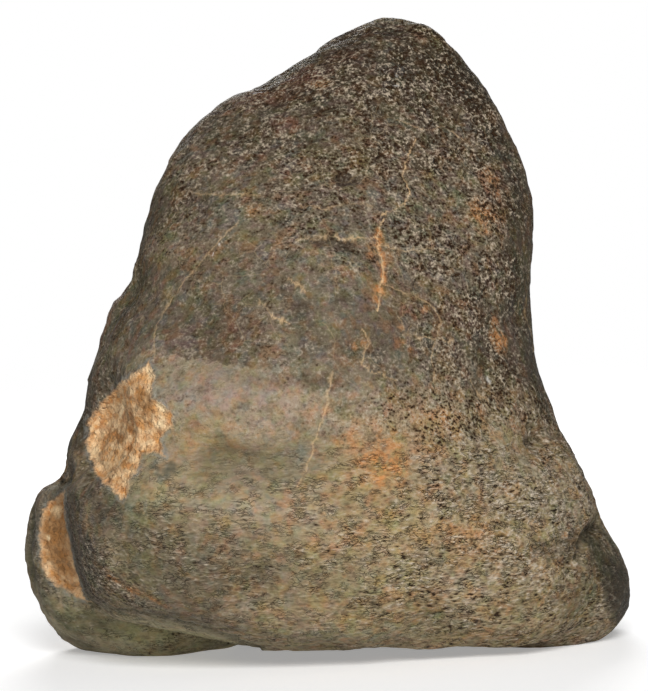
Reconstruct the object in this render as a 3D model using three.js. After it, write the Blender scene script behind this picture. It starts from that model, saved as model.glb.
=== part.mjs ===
// Chondrite meteorite: one broken natural stone, a leaning pyramid with a rounded apex.
// Its upper front face leans back above a brow, its lower front face is steep, and a low
// lobe stands out beside the base at each end.
// Millimetres. +X right, -Y the steep front face, +Z up, origin under the middle of the stone.
import * as THREE from "three";
import { mergeVertices } from "three/addons/utils/BufferGeometryUtils.js";

// ---- Driving dimensions, in the upright pose of the outline below ----
const DETAIL = 21; // splits of the ball that carries the surface
const LEAN = THREE.MathUtils.degToRad(2.3); // turn, right side down, that seats it on its feet
const FLOOR_Z = 1.45; // height, after that turn, at which the underside is worn flat

// The stone's widest outline, seen from the front, clockwise from the apex: [x, z].
const OUTLINE = [
  [12, 121.6], [21, 120.5], [28.8, 112.5], [34.5, 102], [38.4, 87], [38.5, 64], [42, 47],
  [50.5, 30], [51, 14], [43, 6], [24, 4.6], [-4, 3.2], [-24, 6], [-41, 9.5], [-46.5, 18],
  [-49, 34], [-44.5, 47], [-41.6, 61], [-37.2, 72.5], [-32.5, 88], [-23.8, 101.4], [-11, 109],
  [3, 117.5],
];

// The middle of the stone, and how far toward the apex its middle runs up.
const HEART = new THREE.Vector3(0, 5, 46);
const SPINE = new THREE.Vector3(9, 9, 34);

// Front: the brow is the line where the two front faces meet.
const FRONT_Y = -45;
const BROW_Z = 56;
const BROW_TURN_X = 2; // right of this the brow falls
const BROW_FALL = 0.62;
const UPPER_SLOPE = 0.66; // how far the upper face goes back for each millimetre up
const BROW_ROUND = 6; // the brow is sharpest on the left
const BROW_SOFTENS = 0.6; // and rounder by this much for each millimetre to the right

// Back: a steep lower face and two upper faces that meet in a rib.
const BACK_Y = 54;
const BACK_BREAK_Z = 60;
const BACK_SLOPE = 0.29;
const RIB_X = 8;
const RIB_SLOPE = 0.3;
const RIB_ROUND = 8;
const BACK_ROUND = 9;

// The outline's own depth goes back toward the apex.
const OUTLINE_BACK_SLOPE = 0.18;

// Squareness of the sections: 2 gives an oval, more gives a block.
const BODY_POWER = 3;
const BASE_POWER = 4.5;
const LEAST_DEPTH = 5; // from the outline's plane to either face, at the apex
const SPREAD = 40; // scale that turns the section formula into millimetres
const SEAM = 2.5; // rounding where two swellings meet
const FAR_REACH = 110; // farther out than any part of the surface

// Lobes beside the base and the foot under it: middle, half sizes and squareness.
const LOBES = [
  { at: [-34.5, 12, 19], half: [22.6, 26, 20.4], power: 2.45 },
  { at: [37.8, 9, 15], half: [19.6, 27, 12.6], power: 2.4 },
  { at: [4, 23, 9], half: [30, 23, 9.5], power: 2.3 },
];

// Swellings (+) and hollows (-) of the faces, which fade out toward the outline:
// middle [x, z], reach [across, up], rise.
const FORM_FADE = 0.7; // share of the face's depth where they are whole
const FRONT_FORMS = [
  { at: [-18, 51], reach: [21, 7], rise: 1.7 }, // brow, thickest on the left
  { at: [-15, 40.5], reach: [15, 5.5], rise: -1.7 }, // hollow under the brow
  { at: [-4, 30], reach: [38, 8], rise: 1.5 }, // lower swelling
  { at: [39, 42], reach: [4, 3], rise: -1.6 }, // pocket near the right edge
  { at: [24, 108], reach: [8, 9], rise: -1.5 }, // shoulder beside the apex
  { at: [-2, 84], reach: [12, 16], rise: 1 },
];
const BACK_FORMS = [
  { at: [-14, 66], reach: [13, 15], rise: -3.2 }, // broad thumbprint
  { at: [20, 44], reach: [12, 10], rise: -2.4 },
  { at: [-20, 38], reach: [16, 6], rise: 1.8 },
  { at: [12, 92], reach: [9, 12], rise: 1.5 },
];

// Broken patches, cut below the old surface: middle, reach and depth.
const CHIP_EDGE = 0.6; // share of the reach over which the edge slopes
const CHIP_RAGGED = { size: 5, share: 0.1 };
const CHIPS = [
  { at: [-40, -20, 43], reach: [8, 13, 10.5], depth: 1.5 },
  { at: [-52, 6, 21], reach: [7, 9, 9.5], depth: 1.2 },
];

// Single pits: middle, radius and depth.
const PITS = [
  { at: [34, -24, 62], radius: 4, depth: 1 },
  { at: [-40, -12, 72], radius: 4.5, depth: 1.4 },
  { at: [44, 22, 40], radius: 6, depth: 1.8 },
  { at: [-40, 28, 52], radius: 7, depth: 2 },
];

// Undulation of the whole surface: wave sizes and heights.
const LUMPS = [
  { size: 23, height: 1.3 },
  { size: 11, height: 0.6 },
  { size: 6, height: 0.3 },
];

// ---- Small tools ----
const smoothMax = (a, b, k) => (a + b + Math.sqrt((a - b) ** 2 + k * k)) / 2;
const smoothMin = (a, b, k) => -smoothMax(-a, -b, k);
const rampUp = (value, k) => smoothMax(value, 0, k);
const fade = (t) => t * t * (3 - 2 * t);

// A repeatable number from 0 to 1 for each corner of a unit grid.
function cornerValue(i, j, k) {
  const s = Math.sin(i * 127.1 + j * 311.7 + k * 74.7) * 43758.5453;
  return s - Math.floor(s);
}

// Smooth waves from -1 to 1, each about one size across.
function wavesAt(p, size) {
  const [x, y, z] = [p.x / size, p.y / size, p.z / size];
  const [i, j, k] = [Math.floor(x), Math.floor(y), Math.floor(z)];
  const [u, v, w] = [fade(x - i), fade(y - j), fade(z - k)];
  const mix = THREE.MathUtils.lerp;
  const row = (b, c) => mix(cornerValue(i, b, c), cornerValue(i + 1, b, c), u);
  const sheet = (c) => mix(row(j, c), row(j + 1, c), v);
  return 2 * mix(sheet(k), sheet(k + 1), w) - 1;
}

// ---- The outline as a distance from the heart for each angle ----
const outlineCurve = new THREE.CatmullRomCurve3(
  OUTLINE.map(([x, z]) => new THREE.Vector3(x, 0, z)),
  true,
  "centripetal",
);
const OUTLINE_STEPS = 720;
const outlineRays = outlineCurve
  .getSpacedPoints(OUTLINE_STEPS)
  .slice(1)
  .map((p) => ({
    angle: Math.atan2(p.z - HEART.z, p.x - HEART.x),
    reach: Math.hypot(p.z - HEART.z, p.x - HEART.x),
  }))
  .sort((a, b) => a.angle - b.angle);

function outlineReach(angle) {
  let low = 0;
  let high = outlineRays.length - 1;
  if (angle <= outlineRays[low].angle || angle >= outlineRays[high].angle) {
    return (outlineRays[low].reach + outlineRays[high].reach) / 2;
  }
  while (high - low > 1) {
    const middle = (low + high) >> 1;
    if (outlineRays[middle].angle > angle) high = middle;
    else low = middle;
  }
  const [a, b] = [outlineRays[low], outlineRays[high]];
  return THREE.MathUtils.mapLinear(angle, a.angle, b.angle, a.reach, b.reach);
}

// ---- The faces: the depth of each at a place on the outline's plane ----
function outlineY(z) {
  return HEART.y + rampUp(z - BROW_Z, BROW_ROUND) * OUTLINE_BACK_SLOPE;
}

function frontY(x, z) {
  const right = rampUp(x - BROW_TURN_X, BROW_ROUND);
  const upper = (z - BROW_Z + BROW_FALL * right) * UPPER_SLOPE;
  return FRONT_Y + rampUp(upper, BROW_ROUND + BROW_SOFTENS * right);
}

function backY(x, z) {
  const upper = rampUp((z - BACK_BREAK_Z) * BACK_SLOPE, BACK_ROUND);
  return BACK_Y - upper - Math.hypot(x - RIB_X, RIB_ROUND) * RIB_SLOPE;
}

function formRise(forms, x, z) {
  return forms.reduce((sum, { at, reach, rise }) => {
    const away = ((x - at[0]) / reach[0]) ** 2 + ((z - at[1]) / reach[1]) ** 2;
    return sum + rise * Math.exp(-away);
  }, 0);
}

// ---- Distance-like values in millimetres: below 0 is inside the stone ----
function mainStone(p) {
  const middleY = outlineY(p.z);
  const [x, y, z] = [p.x - HEART.x, p.y - middleY, p.z - HEART.z];
  const across = Math.hypot(x, z) / outlineReach(Math.atan2(z, x));
  const isFront = y < 0;
  const depth = isFront ? middleY - frontY(p.x, p.z) : backY(p.x, p.z) - middleY;
  const deep = Math.abs(y) / Math.max(depth, LEAST_DEPTH);
  const towardBase = THREE.MathUtils.clamp(-z / HEART.z, 0, 1);
  const power = THREE.MathUtils.lerp(BODY_POWER, BASE_POWER, towardBase);
  const section = (across ** power + deep ** power) ** (1 / power);
  const rise = formRise(isFront ? FRONT_FORMS : BACK_FORMS, p.x, p.z);
  return (section - 1) * SPREAD - rise * Math.min(1, deep / FORM_FADE);
}

function lobe(p, { at, half, power }) {
  const sum =
    Math.abs((p.x - at[0]) / half[0]) ** power +
    Math.abs((p.y - at[1]) / half[1]) ** power +
    Math.abs((p.z - at[2]) / half[2]) ** power;
  return (sum ** (1 / power) - 1) * Math.min(...half);
}

function chipCut(p) {
  return CHIPS.reduce((cut, { at, reach, depth }) => {
    const away = Math.hypot(
      (p.x - at[0]) / reach[0],
      (p.y - at[1]) / reach[1],
      (p.z - at[2]) / reach[2],
    );
    const ragged = away + CHIP_RAGGED.share * wavesAt(p, CHIP_RAGGED.size);
    return cut + depth * fade(THREE.MathUtils.clamp((1 - ragged) / CHIP_EDGE + 0.5, 0, 1));
  }, 0);
}

function pitCut(p) {
  return PITS.reduce((cut, { at, radius, depth }) => {
    const away = Math.hypot(p.x - at[0], p.y - at[1], p.z - at[2]) / radius;
    return cut + depth * Math.exp(-away * away);
  }, 0);
}

function lumps(p) {
  return LUMPS.reduce(
    (sum, { size, height }) => sum + height * wavesAt(p, size),
    0,
  );
}

function stone(p) {
  const body = LOBES.reduce((joined, l) => smoothMin(joined, lobe(p, l), SEAM), mainStone(p));
  return body - lumps(p) + chipCut(p) + pitCut(p);
}

// ---- The surface: each point of a ball moves out from the middle until it meets the stone ----
const HALVINGS = 30;

function surfacePoint(direction) {
  const start = SPINE.clone().multiplyScalar(Math.max(direction.z, 0)).add(HEART);
  let inside = 0;
  let outside = FAR_REACH;
  const p = new THREE.Vector3();
  for (let step = 0; step < HALVINGS; step += 1) {
    const reach = (inside + outside) / 2;
    p.copy(direction).multiplyScalar(reach).add(start);
    if (stone(p) < 0) inside = reach;
    else outside = reach;
  }
  return p;
}

function stoneGeometry() {
  const ball = new THREE.IcosahedronGeometry(1, DETAIL);
  ball.deleteAttribute("normal");
  ball.deleteAttribute("uv");
  const geometry = mergeVertices(ball, 1e-5);
  const position = geometry.getAttribute("position");
  const direction = new THREE.Vector3();
  for (let i = 0; i < position.count; i += 1) {
    direction.fromBufferAttribute(position, i).normalize();
    const p = surfacePoint(direction);
    position.setXYZ(i, p.x, p.y, p.z);
  }
  geometry.rotateY(LEAN);
  return geometry;
}

// ---- The flat foot, and the origin under the middle of the box ----
function seat(geometry) {
  geometry.computeBoundingBox();
  const middle = geometry.boundingBox.getCenter(new THREE.Vector3());
  const position = geometry.getAttribute("position");
  for (let i = 0; i < position.count; i += 1) {
    const above = Math.max(position.getZ(i) - FLOOR_Z, 0);
    position.setXYZ(i, position.getX(i) - middle.x, position.getY(i) - middle.y, above);
  }
  geometry.computeVertexNormals();
  return geometry;
}

const stoneMaterial = new THREE.MeshStandardMaterial({
  color: "#76684f",
  roughness: 0.9,
  metalness: 0,
});
const meteorite = new THREE.Mesh(seat(stoneGeometry()), stoneMaterial);
meteorite.name = "meteorite";

const part = new THREE.Group();
part.name = "chondrite_meteorite";
part.add(meteorite);

export default part;
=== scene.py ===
"""The looks of the chondrite meteorite.

The stone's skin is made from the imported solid: it is subdivided, then worn, pitted, cracked and
chipped along its own normals, in millimetres. Marks that the photograph shows are given by the
pixels where they are seen, and are put on the stone by looking through the photograph's camera.
"""

import math

import bpy
import numpy as np
from mathutils import Matrix, Vector
from mathutils.bvhtree import BVHTree


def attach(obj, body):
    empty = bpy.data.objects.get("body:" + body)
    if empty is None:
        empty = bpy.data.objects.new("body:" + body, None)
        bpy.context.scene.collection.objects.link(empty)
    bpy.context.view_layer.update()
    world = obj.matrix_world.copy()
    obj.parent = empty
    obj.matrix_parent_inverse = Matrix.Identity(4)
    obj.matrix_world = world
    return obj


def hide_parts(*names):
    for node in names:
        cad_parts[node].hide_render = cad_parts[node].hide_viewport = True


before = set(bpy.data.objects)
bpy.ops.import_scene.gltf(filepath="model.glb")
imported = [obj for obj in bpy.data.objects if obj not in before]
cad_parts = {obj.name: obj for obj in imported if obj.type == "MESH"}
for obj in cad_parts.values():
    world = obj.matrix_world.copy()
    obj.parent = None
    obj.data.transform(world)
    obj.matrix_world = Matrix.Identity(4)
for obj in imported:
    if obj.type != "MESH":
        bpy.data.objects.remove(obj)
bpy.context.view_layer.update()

NODE = "meteorite"
BODY = "root"
MM = 0.001

# ---- the photograph's camera ----

PHOTO_WIDTH, PHOTO_HEIGHT = 648, 691
PIXELS_PER_MM = 5.263
CAMERA_DISTANCE = 1000.0
CAMERA_ELEVATION = math.radians(3.0)
CAMERA_ROLL = math.radians(2.3)
CAMERA_AIM = (1.33, 0.0, 58.0)
SENSOR_MM = 36.0


class PhotoCamera:
    """Where the photograph's camera stands, and which pixel sees which point. Millimetres."""

    def __init__(self):
        level = Vector((1, 0, 0))
        forward = Vector((0, math.cos(CAMERA_ELEVATION), -math.sin(CAMERA_ELEVATION)))
        upright = level.cross(forward)
        cos_roll, sin_roll = math.cos(CAMERA_ROLL), math.sin(CAMERA_ROLL)
        self.right = cos_roll * level - sin_roll * upright
        self.up = sin_roll * level + cos_roll * upright
        self.forward = forward
        self.eye = Vector(CAMERA_AIM) - CAMERA_DISTANCE * forward
        self.focal_pixels = PIXELS_PER_MM * CAMERA_DISTANCE

    def ray(self, pixel):
        """The direction from the eye through a pixel of the photograph."""
        across = (pixel[0] - PHOTO_WIDTH / 2) / self.focal_pixels
        upward = (PHOTO_HEIGHT / 2 - pixel[1]) / self.focal_pixels
        return (self.forward + across * self.right + upward * self.up).normalized()

    def pixels_of(self, points):
        """The pixels that see some points."""
        away = points - np.array(self.eye)
        depth = away @ np.array(self.forward)
        across = PHOTO_WIDTH / 2 + self.focal_pixels * (away @ np.array(self.right)) / depth
        down = PHOTO_HEIGHT / 2 - self.focal_pixels * (away @ np.array(self.up)) / depth
        return np.stack([across, down], axis=-1)

    def add_to_scene(self):
        """Puts the camera where the photograph was taken and makes it the scene's."""
        data = bpy.data.cameras.new("photo_camera")
        data.sensor_width = SENSOR_MM
        data.lens = SENSOR_MM * self.focal_pixels / max(PHOTO_WIDTH, PHOTO_HEIGHT)
        data.clip_start, data.clip_end = 0.05, 50.0
        camera = bpy.data.objects.new("photo_camera", data)
        axes = Matrix((self.right, self.up, -self.forward)).transposed()
        camera.matrix_world = Matrix.Translation(self.eye * MM) @ axes.to_4x4()
        bpy.context.scene.collection.objects.link(camera)
        bpy.context.scene.camera = camera


# ---- noise ----


def hashed(cells, seed):
    """A number from 0 to 1 for each whole-numbered cell, the same on every run."""
    with np.errstate(over="ignore"):
        key = cells.astype(np.int64).astype(np.uint64)
        mixed = key[..., 0] * np.uint64(0x9E3779B185EBCA87)
        mixed ^= key[..., 1] * np.uint64(0xC2B2AE3D27D4EB4F)
        mixed ^= key[..., 2] * np.uint64(0x165667B19E3779F9)
        mixed += np.uint64(seed) * np.uint64(0xD6E8FEB86659FD93)
        for shift in (32, 29):
            mixed ^= mixed >> np.uint64(shift)
            mixed *= np.uint64(0xD6E8FEB86659FD93)
        mixed ^= mixed >> np.uint64(32)
    return (mixed >> np.uint64(11)).astype(np.float64) / float(1 << 53)


CORNERS = [np.array(((i >> 2) & 1, (i >> 1) & 1, i & 1)) for i in range(8)]
NEIGHBOURS = [np.array((x, y, z)) for x in (-1, 0, 1) for y in (-1, 0, 1) for z in (-1, 0, 1)]


def lumps(points, size, seed):
    """Smooth noise of about -1 to 1 whose lumps have the given size (a number or one per axis)."""
    places = points / np.asarray(size, dtype=float)
    cells = np.floor(places)
    inside = places - cells
    ease = inside**3 * (inside * (inside * 6 - 15) + 10)
    total = np.zeros(len(points))
    for corner in CORNERS:
        at = cells + corner
        slope = np.stack([hashed(at, seed + k) * 2 - 1 for k in range(3)], axis=-1)
        lift = ((inside - corner) * slope).sum(axis=-1)
        total += lift * np.where(corner == 1, ease, 1 - ease).prod(axis=-1)
    return total * 1.9


def layered(points, size, seed, layers=3, fade=0.5):
    """Lumps of halving size added up."""
    total = np.zeros(len(points))
    for layer in range(layers):
        total += fade**layer * lumps(points, np.asarray(size) / 2**layer, seed + 10 * layer)
    return total


def pits(points, size, share, seed):
    """1 in the middle of scattered round pits, falling to 0 at their rims."""
    places = points / np.asarray(size, dtype=float)
    cells = np.floor(places)
    best = np.zeros(len(points))
    for step in NEIGHBOURS:
        at = cells + step
        centre = at + np.stack([hashed(at, seed + k) for k in range(3)], axis=-1)
        reach = 0.25 + 0.4 * hashed(at, seed + 3)
        away = np.sqrt(((places - centre) ** 2).sum(axis=-1)) / reach
        there = hashed(at, seed + 4) < share
        best = np.maximum(best, np.where(there, smooth(1.0, 0.2, away), 0.0))
    return best


def smooth(start, end, values):
    """0 at start, 1 at end, with a smooth rise between them."""
    t = np.clip((values - start) / (end - start), 0, 1)
    return t * t * (3 - 2 * t)


# ---- mesh ----


def node_triangles(node):
    """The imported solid's points, in millimetres, and its triangles, each point once."""
    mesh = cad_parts[node].data
    mesh.calc_loop_triangles()
    points = np.empty(len(mesh.vertices) * 3)
    mesh.vertices.foreach_get("co", points)
    faces = np.empty(len(mesh.loop_triangles) * 3, dtype=np.int32)
    mesh.loop_triangles.foreach_get("vertices", faces)
    rounded = np.round(points.reshape(-1, 3) / MM, 4)
    points, where = np.unique(rounded, axis=0, return_inverse=True)
    return points, where.reshape(-1)[faces].reshape(-1, 3)


def edges_of(faces):
    """Each edge once, and for each triangle the numbers of its three edges (0-1, 1-2, 2-0)."""
    ends = faces[:, [0, 1, 1, 2, 2, 0]].reshape(-1, 2)
    edges, where = np.unique(np.sort(ends, axis=1), axis=0, return_inverse=True)
    return edges, where.reshape(-1, 3)


def subdivided(points, faces):
    """One round of Loop subdivision of a closed triangle mesh."""
    edges, sides = edges_of(faces)
    count = len(points)
    opposite = np.zeros((len(edges), 3))
    np.add.at(opposite, sides.reshape(-1), points[faces[:, [2, 0, 1]].reshape(-1)])
    middles = points[edges].sum(axis=1) * 0.375 + opposite * 0.125
    ring = np.zeros((count, 3))
    np.add.at(ring, edges[:, 0], points[edges[:, 1]])
    np.add.at(ring, edges[:, 1], points[edges[:, 0]])
    valence = np.bincount(edges.reshape(-1), minlength=count)[:, None]
    share = np.where(valence == 3, 3 / 16, 3 / (8 * valence))
    moved = points * (1 - valence * share) + ring * share
    a, b, c = faces.T
    ab, bc, ca = (sides + count).T
    parts = ((a, ab, ca), (ab, b, bc), (ca, bc, c), (ab, bc, ca))
    return np.vstack([moved, middles]), np.vstack([np.stack(p, axis=1) for p in parts])


def refined(points, faces, limit):
    """Splits each edge that is longer than the limit at its middle.

    points may carry more columns than x, y and z. limit maps points to lengths.
    """
    edges, sides = edges_of(faces)
    ends = points[edges]
    middles = ends.mean(axis=1)
    lengths = np.linalg.norm(ends[:, 0, :3] - ends[:, 1, :3], axis=1)
    long = lengths > limit(middles[:, :3])
    numbers = np.cumsum(long) - 1 + len(points)
    new_faces = []
    marked = long[sides]
    count = marked.sum(axis=1)
    new_faces.append(faces[count == 0])
    for turn in range(3):
        order = [(turn + k) % 3 for k in range(3)]
        tri = faces[:, order]
        cut = marked[:, order]
        mid = numbers[sides][:, order]
        one = (count == 1) & cut[:, 0]
        a, b, c = tri[one].T
        m = mid[one, 0]
        new_faces += [np.stack((a, m, c), axis=1), np.stack((m, b, c), axis=1)]
        two = (count == 2) & cut[:, 0] & cut[:, 1]
        a, b, c = tri[two].T
        m, n = mid[two, 0], mid[two, 1]
        new_faces += [
            np.stack((m, b, n), axis=1),
            np.stack((a, m, n), axis=1),
            np.stack((a, n, c), axis=1),
        ]
    three = count == 3
    a, b, c = faces[three].T
    ab, bc, ca = numbers[sides][three].T
    for corner in ((a, ab, ca), (ab, b, bc), (ca, bc, c), (ab, bc, ca)):
        new_faces.append(np.stack(corner, axis=1))
    return np.vstack([points, middles[long]]), np.vstack(new_faces)


def normals_of(points, faces):
    """Each point's outward normal."""
    a, b, c = (points[faces[:, k]] for k in range(3))
    flat = np.cross(b - a, c - a)
    total = np.zeros_like(points)
    for k in range(3):
        np.add.at(total, faces[:, k], flat)
    return total / np.maximum(np.linalg.norm(total, axis=1, keepdims=True), 1e-12)


def smoothed(points, faces, rounds):
    """The points after each has been drawn towards its neighbours some times over."""
    edges, _ = edges_of(faces)
    ends = np.concatenate([edges[:, 0], edges[:, 1]])
    others = np.concatenate([edges[:, 1], edges[:, 0]])
    valence = np.bincount(ends, minlength=len(points))
    for _ in range(rounds):
        ring = [np.bincount(ends, column[others], len(points)) / valence for column in points.T]
        points = 0.5 * points + 0.5 * np.stack(ring, axis=1)
    return points


SHARPEN_ROUNDS = 40
VALLEY_GAIN, RIDGE_GAIN = 2.5, 1.0
FLOOR_MM = 0.02  # points lower than this are the flat foot's, and stay


def sharpened(points, faces):
    """The stone with its valleys cut deeper and its ridges a little prouder, and how much."""
    normals = normals_of(points, faces)
    lift = ((points - smoothed(points, faces, SHARPEN_ROUNDS)) * normals).sum(axis=1)
    lift -= np.median(lift)
    gained = VALLEY_GAIN * np.minimum(lift, 0) + RIDGE_GAIN * np.maximum(lift, 0)
    moved = points + normals * gained[:, None]
    flat = points[:, 2] < FLOOR_MM
    moved[flat] = points[flat]
    return moved, lift


# ---- marks, by the pixels where the photograph shows them ----

CHIPS = {
    "brow": [
        (150, 361), (154, 377), (150, 397), (161, 403), (173, 414), (172, 427), (164, 433), (160, 441),
        (164, 457), (153, 451), (142, 454), (140, 467), (128, 480), (127, 496), (121, 499), (111, 490),
        (98, 478), (89, 458), (89, 442), (93, 422), (103, 402), (118, 385), (134, 372), (146, 364),
    ],
    "lobe": [
        (62, 491), (56, 496), (46, 503), (39, 514), (37, 530), (38, 547), (38, 561), (42, 577),
        (48, 586), (59, 594), (70, 601), (79, 603), (77, 592), (75, 580), (71, 563), (69, 547),
        (65, 530), (63, 510),
    ],
}

CHIPS_BEFORE = {"brow": 3.0, "lobe": 16.0}  # the depth, y, behind which a chip isn't put

# half width in millimetres, strength, and the line's pixels
CRACKS = [
    (0.15, 1.0, [(416, 140), (405, 165), (402, 178), (408, 190), (408, 200), (395, 210), (380, 216)]),
    (0.14, 0.6, [(296, 240), (320, 237), (348, 239), (375, 238)]),
    (0.18, 0.75, [(383, 218), (376, 240), (381, 260), (382, 280), (378, 300), (376, 312)]),
    (0.12, 0.4, [(383, 285), (410, 295), (435, 308), (440, 320), (430, 360), (436, 392)]),
    (0.12, 0.45, [(363, 330), (368, 345), (360, 365), (365, 368), (380, 375), (395, 380)]),
    (0.13, 0.4, [(236, 224), (214, 248), (190, 276), (170, 305), (157, 328), (155, 345), (154, 362)]),
    (0.14, 0.4, [(195, 195), (228, 196), (260, 195)]),
    (0.13, 0.5, [(333, 372), (327, 405), (318, 430), (307, 468), (298, 487)]),
    (0.13, 0.6, [(260, 300), (270, 315), (290, 325)]),
    (0.14, 0.5, [(290, 280), (305, 292)]),
    (0.14, 0.4, [(378, 246), (402, 252), (432, 249)]),
    (0.14, 0.45, [(398, 318), (404, 336), (430, 338), (452, 342)]),
    (0.12, 0.25, [(86, 521), (92, 540), (96, 545)]),
    (0.13, 0.35, [(396, 120), (424, 132), (446, 128), (468, 140)]),
    (0.13, 0.5, [(470, 380), (478, 392), (488, 402)]),
    (0.16, 0.7, [(70, 597), (78, 603), (86, 606)]),
    (0.13, 0.35, [(300, 205), (322, 210), (345, 204), (372, 206)]),
]

# where the main body hides the lobe behind it, and the way back over the lobe
LOBE_SEAM = [
    (64, 488), (66, 510), (69, 532), (73, 560), (78, 584), (86, 601), (105, 608), (132, 611),
    (160, 615), (200, 626), (235, 638), (262, 648),
]
LOBE_RETURN = [(262, 690), (60, 690), (0, 640), (0, 470), (40, 476)]
RIGHT_SEAM = [(603, 521), (593, 529), (586, 541), (582, 556)]
# shallow grooves that sweep up to the lobe on the right
GROOVES = [
    [(536, 549), (552, 553), (570, 549), (586, 538)],
    [(534, 541), (550, 545), (566, 541), (578, 532)],
    [(548, 560), (566, 561), (580, 553)],
]

# half width in millimetres, strength, and the pixels of lines of rust
RUST_LINES = [
    (1.3, 0.9, [(378, 232), (377, 242), (381, 260), (382, 280), (376, 300)]),
    (0.9, 0.65, [(108, 576), (128, 588), (146, 596), (168, 608)]),
]

# the lower edge of the crust, above the brow
BROW_LINE = [
    (98, 380), (120, 366), (150, 352), (163, 355), (200, 359), (235, 361), (263, 364), (300, 367),
    (320, 371), (333, 380), (350, 392), (380, 398), (411, 396), (433, 386), (455, 392), (476, 394),
    (500, 402), (520, 412), (545, 440), (563, 458), (580, 480),
]

# the dark hollow side of the lobe on the right
RIGHT_SHADE = [
    (588, 530), (603, 520), (614, 540), (624, 568), (640, 600), (622, 628), (612, 625), (606, 602),
    (600, 582), (595, 562), (588, 546),
]

# the finely wrinkled left end of the body, beside the lobe
ROUGH_END = [
    (66, 488), (80, 494), (94, 516), (106, 552), (126, 586), (165, 606), (200, 622), (132, 611),
    (86, 601), (73, 560), (66, 510),
]

# height in the photograph, and how far the imported solid's outline is moved right there, in pixels:
# worked out from the printed difference of the two outlines, then eased
LEFT_SHIFTS = [
    (20, 2), (40, 5), (60, 3), (80, 6), (100, 10), (120, 5), (140, 3), (160, 0), (292, 0), (300, 2),
    (316, 4), (330, 6), (348, 8), (358, 6), (372, 3), (384, 0), (400, -3), (412, -4), (424, -6),
    (436, -4), (448, -2), (456, 0), (462, 4), (466, 9), (472, 13), (480, 15), (485, 12), (489, 5),
    (496, 2), (504, 1), (560, 0), (580, 3), (600, 6), (620, 4), (640, 0),
]
RIGHT_SHIFTS = [
    (90, 0), (120, -4), (140, -6), (160, -5), (185, -3), (210, 0), (500, 0), (510, 2), (516, 3),
    (521, 0), (526, -3), (532, -6), (545, -8), (560, -7), (572, -4), (582, -1), (596, 2), (625, 2),
    (640, 0),
]

# x, y, half width, half height in pixels, depth in millimetres
HOLLOWS = [
    (322, 241, 15, 6, 0.4), (345, 245, 17, 7, 0.5), (345, 180, 15, 7, 0.6), (330, 215, 10, 5, 0.4),
    (430, 345, 8, 6, 0.4), (300, 305, 12, 8, 0.45), (313, 325, 6, 4, 0.4), (166, 469, 15, 4, 0.25),
    (530, 440, 20, 10, 0.25), (416, 285, 8, 6, 0.35), (378, 160, 9, 5, 0.35), (462, 118, 9, 6, 0.35),
    (236, 330, 9, 5, 0.3), (285, 262, 9, 5, 0.3), (452, 300, 8, 5, 0.3), (405, 98, 12, 5, 0.4),
]

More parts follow.
